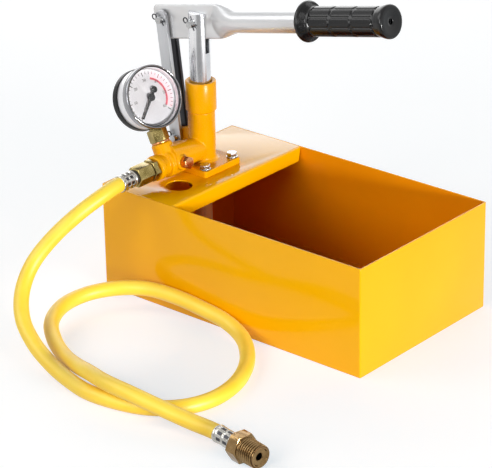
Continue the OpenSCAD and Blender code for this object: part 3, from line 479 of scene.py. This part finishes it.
def face_out(piece):
    """Turns all faces outwards."""
    edit(piece)
    bpy.ops.mesh.normals_make_consistent(inside=False)
    bpy.ops.object.mode_set(mode="OBJECT")


def close_up(piece):
    """Merges doubled points, fills open ends and turns all faces outwards."""
    edit(piece)
    bpy.ops.mesh.remove_doubles(threshold=DOUBLES * MM)
    bpy.ops.mesh.fill_holes(sides=0)
    face_out(piece)


def pull(way):
    """Extrudes what is selected along a way in millimetres."""
    bpy.ops.mesh.extrude_region_move(TRANSFORM_OT_translate={"value": Vector(way) * MM})


def turned(name, profile, sides):
    """A turned piece: a ring pulled along its axis and resized at each (radius, height) of
    the profile."""
    alone()
    radius, level = profile[0]
    bpy.ops.mesh.primitive_circle_add(vertices=sides, radius=radius * MM, location=(0, 0, 0))
    piece = named(name)
    edit(piece)
    bpy.ops.transform.translate(value=(0, 0, level * MM))
    for wide, high in profile[1:]:
        pull((0, 0, high - level))
        if wide != radius:
            bpy.ops.transform.resize(value=(wide / radius, wide / radius, 1))
        radius, level = wide, high
    close_up(piece)
    return piece


def even(start, end, steps):
    """Levels from start to end in even steps."""
    return [start + (end - start) * k / steps for k in range(steps + 1)]


def ramp(value):
    """A share held between 0 and 1."""
    return min(1, max(0, value))


def soft_ramp(value):
    """A share that leaves 0 and reaches 1 gently."""
    share = ramp(value)
    return share * share * (3 - 2 * share)


def press(piece, radius_at):
    """Presses a turned piece's skin: radius_at gives a point's new radius from its angle,
    radius and height."""
    for point in piece.data.vertices:
        x, y, z = point.co / MM
        radius = math.hypot(x, y)
        if radius > 0.05:
            share = radius_at(math.atan2(y, x), radius, z) / radius
            point.co = Vector((x * share, y * share, z)) * MM
    piece.data.update()


def cut(piece, tool, how="DIFFERENCE"):
    alone(piece)
    step = piece.modifiers.new("cut", "BOOLEAN")
    step.operation = how
    step.solver = "EXACT"
    step.object = tool
    bpy.ops.object.modifier_apply(modifier=step.name)
    bpy.data.objects.remove(tool, do_unlink=True)


def thicken(piece):
    """Gives a skin the sheet's thickness, on its inside."""
    alone(piece)
    wall = piece.modifiers.new("wall", "SOLIDIFY")
    wall.thickness = SHEET * MM
    wall.offset = -1
    wall.use_even_offset = True
    bpy.ops.object.modifier_apply(modifier=wall.name)


def joined(name, pieces):
    alone(pieces[0])
    for piece in pieces:
        piece.select_set(True)
    bpy.ops.object.join()
    return named(name)


def ease(piece, width, segments=2, angle=32):
    """Breaks the sharp edges, where a width is given, and smooths the rest."""
    alone(piece)
    if width:
        step = piece.modifiers.new("edge", "BEVEL")
        step.width = width * MM
        step.segments = segments
        step.limit_method = "ANGLE"
        step.angle_limit = math.radians(angle)
        bpy.ops.object.modifier_apply(modifier=step.name)
    bpy.ops.object.shade_smooth_by_angle(angle=math.radians(angle))


def settle(piece, body, surface, at=None, replaces=()):
    """Puts a finished piece in its place, gives it its surface and hands it to its body."""
    alone(piece)
    if at is not None:
        piece.matrix_world = at
        bpy.ops.object.transform_apply(location=True, rotation=True, scale=True)
    piece.data.materials.clear()
    piece.data.materials.append(surface)
    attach(piece, body)
    if replaces:
        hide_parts(*replaces)


def add_surface(piece, surface, chosen):
    """Gives the chosen faces, one answer per face, a second surface."""
    piece.data.materials.append(surface)
    for face, other in zip(piece.data.polygons, chosen):
        face.material_index = 1 if other else 0


def merged_copy(node, name):
    """A copy of a solid's mesh with its loose triangles merged."""
    copy = bpy.data.objects.new(name, nodes[node].data.copy())
    scene.collection.objects.link(copy)
    edit(copy)
    bpy.ops.mesh.customdata_custom_splitnormals_clear()
    bpy.ops.mesh.remove_doubles(threshold=SOLID_DOUBLES * MM)
    bpy.ops.object.mode_set(mode="OBJECT")
    return copy


def dress(node, body, surface, edge, segments=2):
    """A solid with its edges broken, in place of the plain one."""
    piece = merged_copy(node, node + "_eased")
    edit(piece)
    bpy.ops.mesh.dissolve_limited(angle_limit=math.radians(0.3))
    bpy.ops.object.mode_set(mode="OBJECT")
    ease(piece, edge, segments)
    settle(piece, body, surface, replaces=(node,))
    return piece


# Hose, first of the pieces because its room is checked

def make_hose():
    route = [Vector(p) for p in HOSE_ROUTE]
    last = len(route) - 1
    turn = math.radians(HOSE_END_TURN)
    curve = bpy.data.curves.new("hose_run", "CURVE")
    curve.dimensions = "3D"
    curve.bevel_depth = HOSE_D / 2 * MM
    curve.bevel_resolution = 7
    curve.resolution_u = 8
    curve.use_fill_caps = True
    spline = curve.splines.new("BEZIER")
    spline.bezier_points.add(last)
    for i, knot in enumerate(spline.bezier_points):
        if i == 0:
            way = Vector((0, -1, 0))
        elif i == last:
            way = Vector((math.cos(turn), math.sin(turn), 0))
        else:
            way = (route[i + 1] - route[i - 1]).normalized()
        before = (route[i] - route[max(i - 1, 0)]).length / 3
        after = (route[min(i + 1, last)] - route[i]).length / 3
        knot.co = route[i] * MM
        knot.handle_left_type = knot.handle_right_type = "FREE"
        knot.handle_left = (route[i] - way * before) * MM
        knot.handle_right = (route[i] + way * after) * MM
    hose = bpy.data.objects.new("hose_run", curve)
    scene.collection.objects.link(hose)
    curve.materials.append(hose_yellow)
    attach(hose, "base")
    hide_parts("hose")
    return hose


hose = make_hose()


# Tank and deck

def make_tank():
    """Open box folded from one sheet, with rounded folds and a deeper colour inside, painted on
    as shade.
    """
    bend = 1.6
    alone()
    bpy.ops.mesh.primitive_cube_add(size=1, location=(0, 0, 0))
    tank = named("tank_folded")
    edit(tank)
    bpy.ops.transform.resize(value=(TANK_L * MM, TANK_W * MM, TANK_H * MM))
    bpy.ops.transform.translate(value=(0, 0, TANK_H / 2 * MM))
    pick(tank, "FACE", lambda corners: all(p.z > TANK_H / 2 for p in corners))
    bpy.ops.mesh.delete(type="FACE")
    pick(tank, "EDGE", lambda ends: any(p.z < TANK_H / 2 for p in ends))
    bpy.ops.mesh.bevel(offset=bend * MM, segments=5)
    face_out(tank)
    thicken(tank)
    ease(tank, 0.3, 2, 40)
    settle(tank, "base", tank_paint, replaces=("tank_shell",))

    def inside(face):
        x, y, z = face.center / MM
        within = abs(x) < (TANK_L - SHEET) / 2 and abs(y) < (TANK_W - SHEET) / 2
        return within and SHEET / 2 < z < TANK_H - 0.4

    # The inner faces take the deeper colour: painted shade for the shaded inside.
    add_surface(tank, shaded_inner_paint, [inside(face) for face in tank.data.polygons])


def make_deck():
    """Deck strip flush with the rim, with its front edge folded down in a rounded bend."""
    bend = 2.2
    middle = DECK_BACK + DECK_L / 2
    alone()
    bpy.ops.mesh.primitive_plane_add(size=1, location=(0, 0, 0))
    deck = named("deck_folded")
    edit(deck)
    bpy.ops.transform.resize(value=(DECK_L * MM, DECK_W * MM, 1))
    bpy.ops.transform.translate(value=(middle * MM, 0, TANK_H * MM))
    pick(deck, "EDGE", lambda ends: all(p.x > middle for p in ends))
    pull((0, 0, -FOLD_DROP))
    bpy.ops.transform.resize(value=(1, FOLD_W / DECK_W, 1))
    pick(deck, "EDGE", lambda ends: all(p.x > middle and p.z > TANK_H - 1 for p in ends))
    bpy.ops.mesh.bevel(offset=bend * MM, segments=6)
    face_out(deck)
    if max(deck.data.polygons, key=lambda face: face.area).normal.z < 0:
        edit(deck)
        bpy.ops.mesh.flip_normals()
        bpy.ops.object.mode_set(mode="OBJECT")
    thicken(deck)
    drill = turned("drill", [(RETURN_HOLE_R, TANK_H - 17), (RETURN_HOLE_R, TANK_H + 13)], 64)
    drill.data.transform(place(RETURN_HOLE_AT))
    cut(deck, drill)
    ease(deck, 0.25, 2, 40)
    settle(deck, "base", tank_paint, replaces=("deck_plate", "deck_fold"))


make_tank()
make_deck()


# Pump casting and gland

def make_casting():
    """Casting with soft corners: the solid remade in small even faces, then smoothed."""
    casting = merged_copy("pump_body", "pump_casting")
    alone(casting)
    casting.data.remesh_voxel_size = 0.55 * MM
    bpy.ops.object.voxel_remesh()
    soft = casting.modifiers.new("soft", "SMOOTH")
    soft.factor = 0.5
    soft.iterations = 10
    bpy.ops.object.modifier_apply(modifier=soft.name)
    bpy.ops.object.shade_smooth()
    settle(casting, "base", cast_paint, replaces=("pump_body",))


def make_gland():
    """Round nut over the column's spigot, open at the top for the rod."""
    low, high, inner_top = 148, 175, 170.5
    outer, spigot, rod = 13.25, 11 + FIT, 9.5
    gland = turned("gland_cap", [
        (spigot, low), (12.2, low), (outer, low + 1), (outer, high - 0.8), (12.8, high),
        (10.9, high), (9.6, high - 1), (rod, inner_top), (spigot, inner_top), (spigot, low)], 96)
    ease(gland, 0.35, 3)
    settle(gland, "base", cast_paint, AT_PUMP, ("gland_nut",))


make_casting()
make_gland()


# Lever, grip, plunger and link

def make_lever():
    """Tube pressed flat at its back end: rings pulled along the lever, then pressed to shape."""
    back, bore, bore_end = -49, 8, 150
    flat_rise, flat_half, corner = 15.5, 2, 4
    crease, crease_bow, fall_from, round_at = 16, 9, 20, 47
    # Rings round the back corner, along the flat, close together at the crease, along the tube
    stations = [back + corner * (1 - math.cos(math.radians(a))) for a in range(0, 91, 18)]
    stations += [-35, -20, -5, 8, 14] + even(crease, round_at, 28) + [60, 90, 115, 118, TUBE_END]
    profile = [(TUBE_R, level) for level in stations] + [(bore, TUBE_END), (bore, bore_end)]
    lever = turned("lever_pressed_tube", profile, 96)
    for point in lever.data.vertices:
        x, y, z = point.co / MM
        if math.hypot(x, y) < (TUBE_R + bore) / 2 or z > round_at + 0.01:
            continue
        # x is the lever's up direction and y runs across it while the tube stands on Z
        up, across = x / TUBE_R, y / TUBE_R
        rise = flat_rise
        if z < back + corner:
            rise += math.sqrt(max(0, corner ** 2 - (back + corner - z) ** 2)) - corner
        start = crease + crease_bow * up * up
        share = 1 - (1 - ramp((z - start) / (round_at - start))) ** 2
        fall = soft_ramp((z - fall_from) / (round_at - fall_from))
        edge = max(0, abs(up * rise) - (rise - flat_half)) / flat_half
        thick = flat_half * math.sqrt(max(0, 1 - edge * edge))
        thick = math.copysign(thick, across) if across else 0
        point.co = Vector((up * (rise + (TUBE_R - rise) * fall),
                           thick + (across * TUBE_R - thick) * share, z)) * MM
    lever.data.update()
    # Hole for the link's top pin, and the slot in which the rod's pin slides
    link_hole = (LINK_UP, -LINK_BACK, PIN_R + FIT, 0)
    rod_slot = (0, 0, PIN_R + SLOT_PLAY, SLOT_RUN)
    for up, along, radius, run in (link_hole, rod_slot):
        drill = turned("drill", [(radius, -6), (radius, 6)], 48)
        for point in drill.data.vertices:
            if point.co.y < -0.01 * MM:
                point.co.y -= run * MM
        drill.data.transform(place((up, 0, along), ("X", -90)))
        cut(lever, drill)
    ease(lever, 0, angle=40)
    settle(lever, "lever", drawn_steel, ON_LEVER @ place((0, 0, 0), ("Z", 180)),
           ("lever_tube",))


def make_grip():
    """Moulded grip: ringed guard, rows of rounded pads, flared end with a vent hole."""
    skin, tube, vent = 12.5, TUBE_R + FIT, 2.5
    back, tube_stop = 120, TUBE_END + 0.1
    pads_from, pads_to, rows, runs = 131.0, 198.0, 9, 3
    profile = [(tube, back), (15.2, back), (16.5, 120.5), (17.1, 121.4), (17.2, 122.6),
               (17.0, 123.6), (16.5, 124.3)]
    for k in range(6):
        radius, level = 16.2 - 0.55 * k, 124.5 + 0.75 * k
        profile += [(radius, level), (radius - 0.12, level + 0.42), (radius - 0.5, level + 0.42)]
    profile += [(12.7, 129.4), (skin, 130.2)]
    profile += [(skin, level) for level in even(pads_from, pads_to, 134)]
    profile += [(12.6, 199.2), (12.9, 201), (13.5, 203.5), (13.9, 205.3), (14.0, 206.8),
                (13.8, 208), (13.2, 208.8), (12.3, 209), (9, 208.5), (5, 208.1), (3, 208.0),
                (vent, 207.7), (vent, tube_stop), (tube, tube_stop), (tube, back)]
    grip = turned("grip_moulded", profile, 180)
    pitch, arc = (pads_to - pads_from) / runs, 2 * math.pi / rows
    half_run, half_arc = pitch / 2, arc * skin / 2
    corner, groove, deep, slope = 2.4, 0.75, 0.75, 0.55

    def pad_skin(angle, radius, level):
        if radius < skin - 0.2 or not pads_from < level < pads_to:
            return radius
        along = abs((level - pads_from) % pitch - half_run) - (half_run - groove - corner)
        round_it = abs(angle % arc - arc / 2) * skin - (half_arc - groove - corner)
        outside = math.hypot(max(along, 0), max(round_it, 0)) + min(max(along, round_it), 0)
        return radius - deep * soft_ramp((outside - corner) / slope + 0.5)

    press(grip, pad_skin)
    ease(grip, 0, angle=48)
    settle(grip, "lever", grip_rubber, ON_LEVER, ("lever_grip",))


def make_link():
    """Two flat bars: a bright one in front, with painted shade in dark steel on its face towards
    the lever, and one behind that is dark all over as painted shade."""
    front = dress("link_bar_front", "link", bar_steel, 0.5, 3)
    # The face towards the lever gets the dark steel as painted shade.
    add_surface(front, scale_and_shade_steel, [face.normal.y > 0.9 for face in front.data.polygons])
    # The rear bar is dark all over as painted shade.
    dress("link_bar_rear", "link", scale_and_shade_steel, 0.5, 3)


make_lever()
make_grip()
dress("plunger_rod", "plunger", chrome, 0.5, 3)
make_link()
for node, body in (("rod_pin", "plunger"), ("link_top_pin", "link"), ("link_foot_pin", "base"),
                   ("link_spacers", "link")):
    dress(node, body, zinc, 0.35)
for node, body in (("rod_split_pin", "plunger"), ("link_top_split_pin", "link"),
                   ("link_foot_split_pin", "base")):
    dress(node, body, scale_and_shade_steel, 0)


# Gauge, with heights along its axis

RING_SIDES = 128
WINDOW_BACK, WINDOW_FRONT = 13, 15
WINDOW_R = 26.45
DIAL_FACE = 8.0
INK = 0.06
SCALE_FROM, SCALE_SWEEP = -45, 270


def make_bezel():
    """Rolled ring that holds the window."""
    back, front, inner, outer = 9, 16, 26.05, 27.5
    lip, pocket = WINDOW_FRONT + 0.02, WINDOW_R + 0.1
    bezel = turned("gauge_rolled_bezel", [
        (inner, back), (27.2, back), (outer, 9.4), (outer, 14.6), (27.35, 15.4), (26.9, 15.9),
        (26.5, front), (26.15, 15.9), (25.98, 15.6), (25.95, lip), (pocket, lip),
        (pocket, WINDOW_BACK), (inner, WINDOW_BACK), (inner, back)], RING_SIDES)
    ease(bezel, 0, angle=50)
    # Its darkened chrome is a painted dark reflection.
    settle(bezel, "base", bezel_dark_reflection_chrome, ON_GAUGE, ("gauge_bezel",))


def make_window():
    """Clear disc with a black seal in front of its edge."""
    inner, outer, low = 25.0, 25.9, WINDOW_FRONT + 0.02
    seal = turned("gauge_window_seal", [
        (inner, low), (outer, low), (outer, 15.4), (25.7, 15.6), (25.3, 15.55), (inner, 15.3),
        (inner, low)], RING_SIDES)
    ease(seal, 0, angle=60)
    settle(seal, "base", seal_rubber, ON_GAUGE)
    centre, rim, chamfer = 0.01, WINDOW_R - 0.45, 0.4
    window = turned("gauge_clear_window", [
        (centre, WINDOW_BACK), (rim, WINDOW_BACK), (WINDOW_R, WINDOW_BACK + chamfer),
        (WINDOW_R, WINDOW_FRONT - chamfer), (rim, WINDOW_FRONT), (centre, WINDOW_FRONT)],
        RING_SIDES)
    ease(window, 0, angle=30)
    settle(window, "base", window_glass, ON_GAUGE, ("gauge_window",))


def dial_turn(share):
    """Angle of a share of the scale: clockwise from half past seven to half past four."""
    return math.radians(SCALE_FROM - SCALE_SWEEP * share)


def make_mark(share, long, wide):
    """A thin bar of ink that ends at the scale's outer radius."""
    outer = 22.4
    alone()
    bpy.ops.mesh.primitive_plane_add(size=1, location=(0, 0, 0))
    mark = named("mark")
    edit(mark)
    bpy.ops.transform.resize(value=(long * MM, wide * MM, 1))
    bpy.ops.transform.translate(value=((outer - long / 2) * MM, 0, DIAL_FACE * MM))
    pull((0, 0, INK))
    face_out(mark)
    mark.data.transform(Matrix.Rotation(dial_turn(share), 4, "Z"))
    return mark


def make_number(share, text):
    """A plain number inside the scale."""
    radius, size = 15.4, 3.6
    alone()
    bpy.ops.object.text_add(location=(0, 0, 0))
    number = bpy.context.object
    number.data.body = text
    number.data.align_x, number.data.align_y = "CENTER", "CENTER"
    number.data.size = size * MM
    number.data.extrude = INK / 2 * MM
    number.data.resolution_u = 3
    bpy.ops.object.convert(target="MESH")
    angle = dial_turn(share)
    spot = (radius * math.cos(angle), radius * math.sin(angle), DIAL_FACE + INK / 2)
    number.data.transform(place(spot, ("Z", 90)))
    return number


def make_scale():
    """Scale lines, every fifth one longer, and plain numbers."""
    lines, numbers = 30, 6
    marks = []
    for k in range(lines + 1):
        long, wide = (3.5, 0.66) if k % 5 == 0 else (2.2, 0.44)
        marks.append(make_mark(k / lines, long, wide))
    marks += [make_number(k / numbers, str(10 * k)) for k in range(numbers + 1)]
    settle(joined("dial_scale", marks), "base", ink_black, ON_GAUGE)


def make_band(name, inner, outer, rise, ink):
    """A flat printed band between two radii, over the upper part of the scale."""
    first, last = 0.585, 0.985
    low, high = DIAL_FACE, DIAL_FACE + rise
    band = turned(name, [(inner, low), (outer, low), (outer, high), (inner, high), (inner, low)],
                  180)

    def off_the_band(corners):
        middle = sum(corners, Vector()) / len(corners)
        turn = SCALE_FROM - math.degrees(math.atan2(middle.y, middle.x))
        return not first < turn % 360 / SCALE_SWEEP < last

    pick(band, "FACE", off_the_band)
    bpy.ops.mesh.delete(type="FACE")
    close_up(band)
    settle(band, "base", ink, ON_GAUGE)


make_bezel()
make_window()
dress("gauge_case", "base", case_steel, 0.3)
dress("gauge_back_cover", "base", black_plastic, 0.7, 3)
dress("gauge_dial", "base", dial_white, 0.1)
dress("gauge_washer", "base", copper, 0.3)
dress("gauge_socket", "base", olive_brass, 0.25)
make_scale()
make_band("dial_pink_band", 17.4, 22.6, 0.02, ink_pink)
make_band("dial_red_arc", 15.6, 17.4, 0.04, ink_red)
dress("gauge_needle", "needle", needle_black, 0.12)


# Valve barrel fittings and the hose's ends

def make_ferrule(name, long, at, node):
    """Ferrule with a rolled rim at each end and two rows of marks pressed in between, their
    hollows darkened as painted shade.
    """
    bore, skin, waist, rim = 4.05, 7.2, 7.0, 7.35
    plain, row_half, deep, shallow = 2.3, 0.15, 0.6, 0.1
    profile = [(bore, 0), (6.4, 0), (waist, 0.2), (rim, 0.8), (rim, 1.6), (waist, 2.1)]
    profile += [(skin, level) for level in even(2.4, long - 2.4, 26)]
    profile += [(waist, long - 2.1), (rim, long - 1.6), (rim, long - 0.8), (waist, long - 0.2),
                (6.6, long), (bore, long), (bore, 0)]
    ferrule = turned(name, profile, 96)

    def crimp(angle, radius, level):
        if radius < 6.9 or not plain < level < long - plain:
            return radius
        share = (level - plain) / (long - 2 * plain)
        in_row = any(abs(share - row) < row_half for row in (0.3, 0.7))
        return radius - (deep if in_row and math.cos(8 * angle) > -0.25 else shallow)

    def in_mark(face):
        x, y, z = face.center / MM
        return 2.6 < z < long - 2.6 and 6 < math.hypot(x, y) < 6.7

    press(ferrule, crimp)
    ease(ferrule, 0, angle=45)
    # The crimp hollows get the dark steel as painted shade.
    dark = [in_mark(face) for face in ferrule.data.polygons]
    settle(ferrule, "base", ferrule_steel, at, (node,))
    add_surface(ferrule, scale_and_shade_steel, dark)
    return ferrule


def make_hexagon(name, flats, low, high, chamfer):
    """A hexagon bar along Z with turned chamfers at both ends."""
    alone()
    bpy.ops.mesh.primitive_circle_add(vertices=6, radius=flats / math.sqrt(3) * MM,
                                      fill_type="NGON")
    bar = named(name)
    edit(bar)
    bpy.ops.transform.rotate(value=math.radians(30), orient_axis="Z", center_override=(0, 0, 0))
    bpy.ops.transform.translate(value=(0, 0, low * MM))
    pull((0, 0, high - low))
    close_up(bar)
    tip = flats / 2 - 0.1
    wide = tip + 2 * chamfer
    blank = turned("blank", [(tip, low), (wide, low + chamfer), (wide, high - chamfer),
                             (tip, high)], 64)
    cut(bar, blank, "INTERSECT")
    return bar


def make_end_fitting():
    """Hexagon with a tapered thread, drilled through."""
    low, high, end = END_FERRULE_L, END_FERRULE_L + END_HEX_L, 50.5
    neck_from, start, long, pitch = low + 0.2, high + 0.1, 16.8, 2.2
    bore, neck, crest, taper = 3, 9.1, 9.98, 0.02
    deep, run_in, tip_l, tip_drop = 1.4, 1.5, 1.2, 0.7
    flats, chamfer = 22, 0.9
    bar = make_hexagon("end_hexagon", flats, low, high, chamfer)
    profile = [(bore, neck_from), (neck, neck_from), (neck, start)]
    profile += [(9.9, level) for level in even(start, start + long, 170)]
    profile += [(8.4, end - 0.01), (7.4, end), (6.6, 49.4), (3.6, 49.2), (bore, 48.6),
                (bore, neck_from)]
    thread = turned("end_thread", profile, 80)

    def ridge(angle, radius, level):
        if radius < 9.5:
            return radius
        along = level - start
        wave = abs(((along / pitch - angle / (2 * math.pi)) % 1) * 2 - 1)
        groove = deep * min(1, along / run_in) * (1 - min(1, wave * 1.25))
        tip = max(0, along - (long - tip_l)) / tip_l
        return crest - taper * along - groove - tip_drop * tip

    def in_groove(face):
        x, y, z = face.center / MM
        return z > start + 0.5 and 8 < math.hypot(x, y) < 9.25 - taper * (z - start)

    press(thread, ridge)
    cut(bar, turned("core", [(neck + 0.1, 22), (neck + 0.1, 35)], 48))
    fitting = joined("hose_end_threaded", [bar, thread])
    ease(fitting, 0, angle=38)
    # The thread's grooves get the darker brass as painted shade.
    dark = [in_groove(face) for face in fitting.data.polygons]
    settle(fitting, "base", gold_brass, ON_HOSE_END @ place((0, 0, 0), ("Z", 30)),
           ("hose_end_fitting",))
    add_surface(fitting, groove_shade_brass, dark)
    return fitting


dress("release_screw", "release_screw", copper, 0.25)
dress("outlet_nut", "base", olive_brass, 0.25)
dress("outlet_adapter", "base", olive_brass, 0.3)
dress("hose_seal_ring", "base", seal_rubber, 0.4, 3)
make_ferrule("ferrule_at_pump", PUMP_FERRULE_L, ON_OUTLET @ place((0, 0, PUMP_FERRULE_AT)),
             "hose_ferrule_pump")
end_ferrule = make_ferrule("ferrule_at_end", END_FERRULE_L, ON_HOSE_END, "hose_ferrule_end")
end_fitting = make_end_fitting()


# Bolts, washers, suction side and hidden pieces

def make_discharge_spring():
    """Coil copied from the solid, with a mesh of its own."""
    spring = merged_copy("discharge_spring", "discharge_coil")
    settle(spring, "base", zinc, replaces=("discharge_spring",))
    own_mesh(spring)


dress("flange_bolts", "base", zinc, 0.3)
dress("flange_washers", "base", zinc, 0.2)
dress("flange_nuts", "base", zinc, 0.25)
dress("suction_tube", "base", pipe_white, 0.3)
dress("suction_strainer", "base", zinc, 0.2)
dress("suction_valve", "base", olive_brass, 0.3)
make_discharge_spring()

# Solids that stay as they are and only get a surface
for node, surface in (("packing_rings", packing_cord), ("suction_ball", zinc),
                      ("discharge_ball", zinc), ("release_ball", zinc),
                      ("gauge_bourdon_tube", gold_brass), ("gauge_movement", gold_brass)):
    nodes[node].data.materials.clear()
    nodes[node].data.materials.append(surface)
